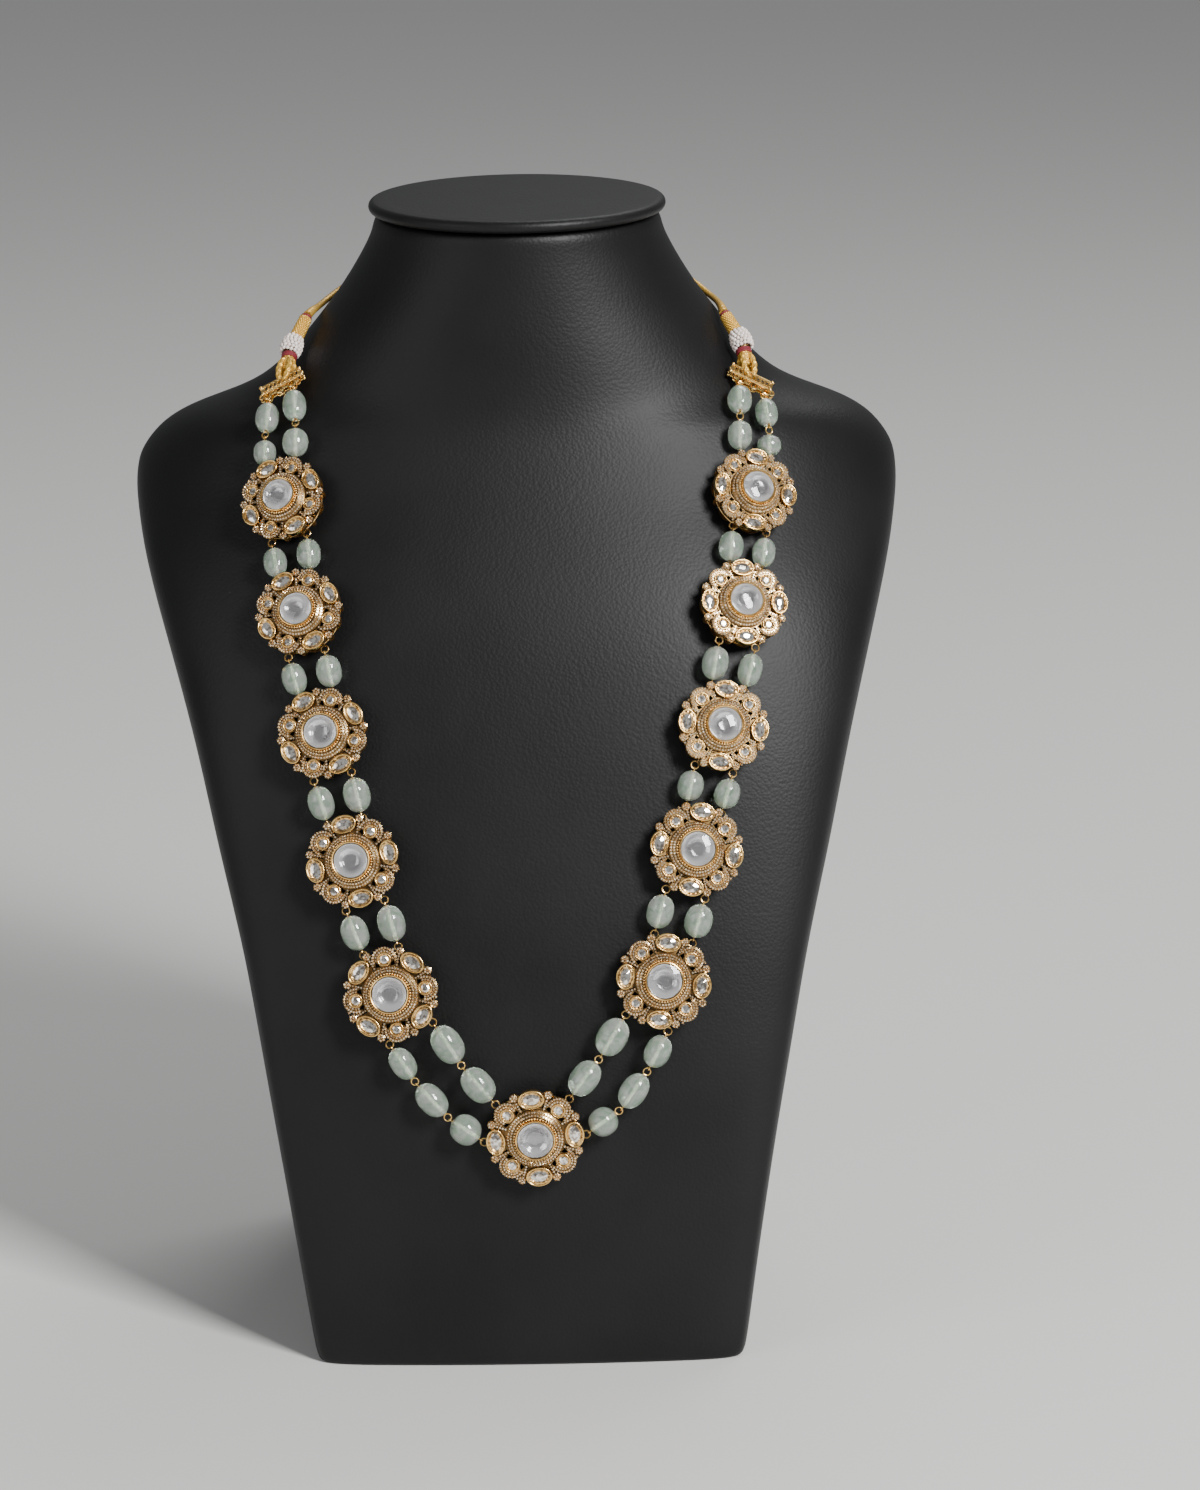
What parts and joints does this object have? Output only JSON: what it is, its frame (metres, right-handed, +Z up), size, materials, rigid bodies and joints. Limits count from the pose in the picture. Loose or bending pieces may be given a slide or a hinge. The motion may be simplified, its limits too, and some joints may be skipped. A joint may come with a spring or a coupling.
{
  "type": "long necklace on a neck bust",
  "caption": "Long two-row necklace of stone-set flower medallions and oval green beads on gilt wire, with a gold cord behind the neck, worn on a black bust.",
  "frame": {"origin": "bottom centre of the bust's base", "axes": "+Z up along the neck, -Y out of the front of the bust, +X to the right as seen from the front"},
  "size_m": [0.315, 0.2301, 0.4461],
  "materials": {
    "bust_leather": "black pebble-grained leather cloth with a soft sheen",
    "gilt_metal": "warm gilt metal set with fine champagne stones",
    "gilt_wire": "bright gilt wire",
    "clear_stone": "clear foil-backed flat-cut stone",
    "green_stone": "pale mint translucent polished stone",
    "seed_pearl": "satin white seed pearls",
    "gold_thread": "twisted gold thread with maroon bands"
  },
  "bodies": {
    "root": {"bust_body": "bust_leather", "bust_cap": "bust_leather", "medallion_l1": "gilt_metal", "medallion_l2": "gilt_metal", "medallion_l3": "gilt_metal", "medallion_l4": "gilt_metal", "medallion_l5": "gilt_metal", "medallion_centre": "gilt_metal", "medallion_r5": "gilt_metal", "medallion_r4": "gilt_metal", "medallion_r3": "gilt_metal", "medallion_r2": "gilt_metal", "medallion_r1": "gilt_metal", "centre_stones": "clear_stone", "oval_stones": "clear_stone", "round_stones": "clear_stone", "bead_01": "green_stone", "bead_02": "green_stone", "bead_03": "green_stone", "bead_04": "green_stone", "bead_05": "green_stone", "bead_06": "green_stone", "bead_07": "green_stone", "bead_08": "green_stone", "bead_09": "green_stone", "bead_10": "green_stone", "bead_11": "green_stone", "bead_12": "green_stone", "bead_13": "green_stone", "bead_14": "green_stone", "bead_15": "green_stone", "bead_16": "green_stone", "bead_17": "green_stone", "bead_18": "green_stone", "bead_19": "green_stone", "bead_20": "green_stone", "bead_21": "green_stone", "bead_22": "green_stone", "bead_23": "green_stone", "bead_24": "green_stone", "bead_25": "green_stone", "bead_26": "green_stone", "bead_27": "green_stone", "bead_28": "green_stone", "bead_29": "green_stone", "bead_30": "green_stone", "bead_31": "green_stone", "bead_32": "green_stone", "bead_33": "green_stone", "bead_34": "green_stone", "bead_pins": "gilt_wire", "spacer_bar_left": "gilt_wire", "spacer_bar_right": "gilt_wire", "thread_loops": "gold_thread", "pearl_barrels": "seed_pearl", "cord_bindings": "gold_thread", "neck_cord": "gold_thread", "cord_slider": "gold_thread"}
  },
  "joints": []
}
